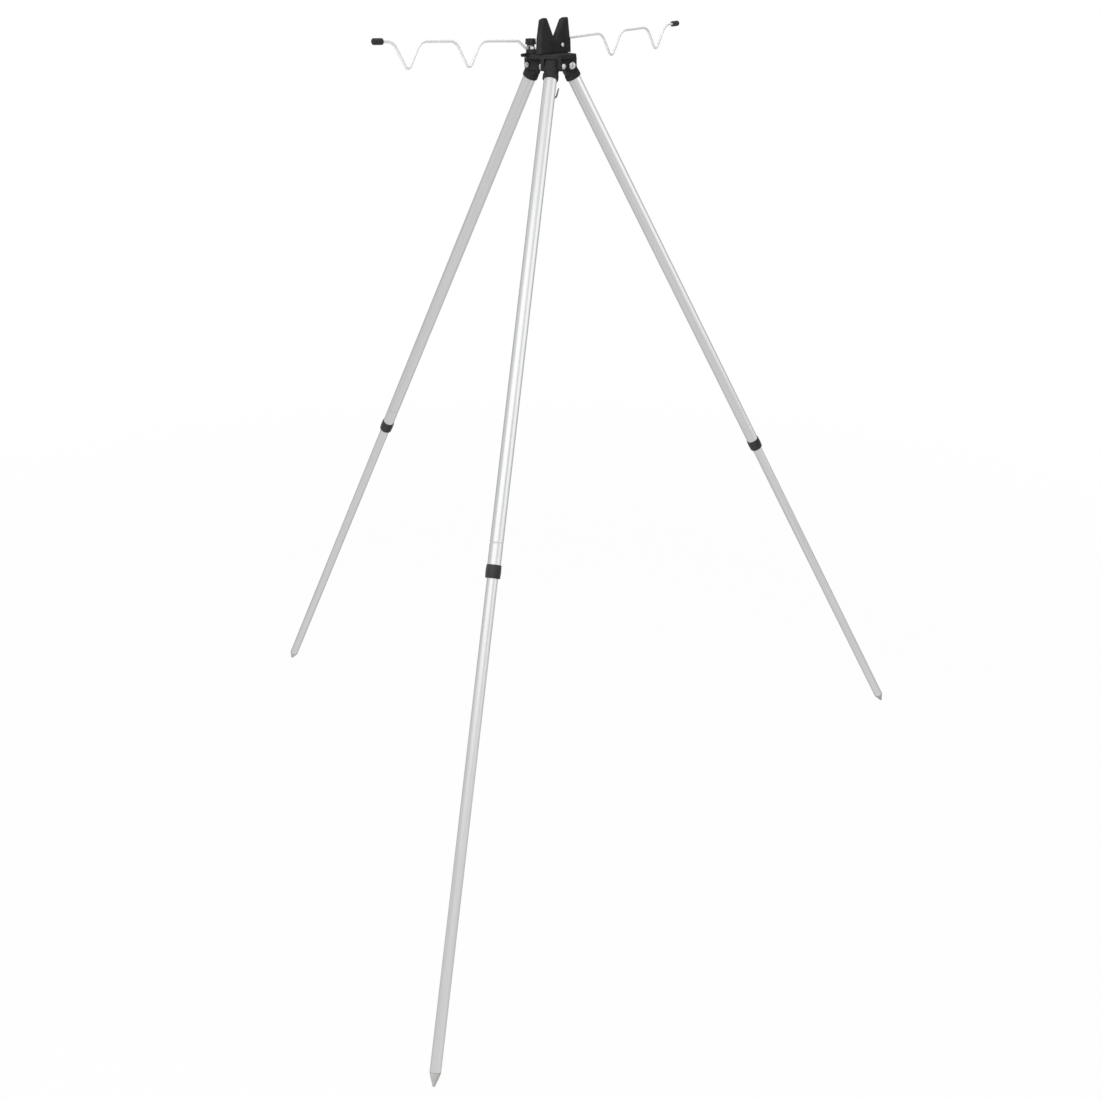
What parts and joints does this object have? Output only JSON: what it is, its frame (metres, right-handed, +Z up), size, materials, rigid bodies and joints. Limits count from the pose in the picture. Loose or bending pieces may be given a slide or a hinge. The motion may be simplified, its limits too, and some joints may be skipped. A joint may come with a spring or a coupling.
{
  "type": "rod tripod",
  "caption": "Tall three-legged stand with telescopic tube legs under a moulded hub, a V fork on top and two swinging wire arms with dips that hold fishing rods.",
  "frame": {"origin": "on the floor, at the middle of the box round the three feet, legs spread and pulled out", "axes": "+X along the rod arms, +Y towards the rear leg, +Z up"},
  "size_m": [1.5078, 1.2424, 1.508],
  "materials": {
    "black_nylon": "moulded, satin black",
    "black_rubber": "matt black",
    "grey_nylon": "moulded, warm grey",
    "white_acetal": "moulded, off-white",
    "satin_aluminium": "satin anodised tube",
    "bright_steel": "bright zinc plated",
    "dark_steel": "dark plated wire",
    "white_coating": "off-white coated steel wire"
  },
  "bodies": {
    "head": {"hub": "black_nylon", "arm_bracket": "black_nylon", "rod_fork": "black_nylon", "fork_screw_front": "bright_steel", "fork_screw_rear": "bright_steel", "bracket_screw_left": "bright_steel", "bracket_screw_right": "bright_steel", "pivot_stud_left": "bright_steel", "pivot_stud_right": "bright_steel", "pivot_washer_left": "bright_steel", "pivot_washer_right": "bright_steel", "hinge_bolt_rear": "bright_steel", "hinge_nut_rear": "bright_steel", "hinge_bolt_left": "bright_steel", "hinge_nut_left": "bright_steel", "hinge_bolt_right": "bright_steel", "hinge_nut_right": "bright_steel"},
    "upper_leg_rear": {"ferrule_rear": "black_nylon", "upper_tube_rear": "satin_aluminium", "collar_rear": "black_nylon"},
    "lock_rear": {"lock_sleeve_rear": "white_acetal"},
    "lower_leg_rear": {"lower_tube_rear": "satin_aluminium", "lock_spindle_rear": "white_acetal", "foot_plug_rear": "grey_nylon"},
    "upper_leg_left": {"ferrule_left": "black_nylon", "upper_tube_left": "satin_aluminium", "collar_left": "black_nylon"},
    "lock_left": {"lock_sleeve_left": "white_acetal"},
    "lower_leg_left": {"lower_tube_left": "satin_aluminium", "lock_spindle_left": "white_acetal", "foot_plug_left": "grey_nylon"},
    "upper_leg_right": {"ferrule_right": "black_nylon", "upper_tube_right": "satin_aluminium", "collar_right": "black_nylon"},
    "lock_right": {"lock_sleeve_right": "white_acetal"},
    "lower_leg_right": {"lower_tube_right": "satin_aluminium", "lock_spindle_right": "white_acetal", "foot_plug_right": "grey_nylon"},
    "arm_left": {"rack_arm_left": "white_coating", "end_cap_left": "black_rubber"},
    "knob_left": {"clamp_knob_left": "black_nylon"},
    "arm_right": {"rack_arm_right": "white_coating", "end_cap_right": "black_rubber"},
    "knob_right": {"clamp_knob_right": "black_nylon"},
    "hook": {"ballast_hook": "dark_steel"}
  },
  "joints": [
    {"name": "leg_fold_rear", "type": "hinge", "parent": "head", "child": "upper_leg_rear", "pos_m": [0, -0.198, 1.43423], "axis": [-1, 0, 0], "range_deg": [0, 29.7]},
    {"name": "leg_slide_rear", "type": "slide", "parent": "upper_leg_rear", "child": "lock_rear", "axis": [0, -0.4955, 0.8686], "range_m": [0, 0.68]},
    {"name": "tube_twist_rear", "type": "hinge", "parent": "lock_rear", "child": "lower_leg_rear", "pos_m": [0, -0.198, 1.43423], "axis": [0, -0.4955, 0.8686], "range_deg": [0, 360]},
    {"name": "leg_fold_left", "type": "hinge", "parent": "head", "child": "upper_leg_left", "pos_m": [-0.02049, -0.25212, 1.43423], "axis": [0.4462, -0.8949, 0], "range_deg": [0, 29.7]},
    {"name": "leg_slide_left", "type": "slide", "parent": "upper_leg_left", "child": "lock_left", "axis": [0.4434, 0.2211, 0.8686], "range_m": [0, 0.68]},
    {"name": "tube_twist_left", "type": "hinge", "parent": "lock_left", "child": "lower_leg_left", "pos_m": [-0.02049, -0.25212, 1.43423], "axis": [0.4434, 0.2211, 0.8686], "range_deg": [0, 360]},
    {"name": "leg_fold_right", "type": "hinge", "parent": "head", "child": "upper_leg_right", "pos_m": [0.02049, -0.25212, 1.43423], "axis": [0.4462, 0.8949, 0], "range_deg": [0, 29.7]},
    {"name": "leg_slide_right", "type": "slide", "parent": "upper_leg_right", "child": "lock_right", "axis": [-0.4434, 0.2211, 0.8686], "range_m": [0, 0.68]},
    {"name": "tube_twist_right", "type": "hinge", "parent": "lock_right", "child": "lower_leg_right", "pos_m": [0.02049, -0.25212, 1.43423], "axis": [-0.4434, 0.2211, 0.8686], "range_deg": [0, 360]},
    {"name": "arm_swing_left", "type": "hinge", "parent": "head", "child": "arm_left", "pos_m": [-0.0355, -0.219, 1.43423], "axis": [0, 0, -1], "range_deg": [-45, 90]},
    {"name": "knob_turn_left", "type": "hinge", "parent": "head", "child": "knob_left", "pos_m": [-0.0355, -0.219, 1.43423], "axis": [0, 0, -1], "continuous": true},
    {"name": "arm_swing_right", "type": "hinge", "parent": "head", "child": "arm_right", "pos_m": [0.0355, -0.219, 1.43423], "axis": [0, 0, 1], "range_deg": [-45, 90]},
    {"name": "knob_turn_right", "type": "hinge", "parent": "head", "child": "knob_right", "pos_m": [0.0355, -0.219, 1.43423], "axis": [0, 0, 1], "continuous": true},
    {"name": "hook_turn", "type": "hinge", "parent": "head", "child": "hook", "pos_m": [0, -0.231, 1.43423], "axis": [0, 0, 1], "continuous": true}
  ]
}
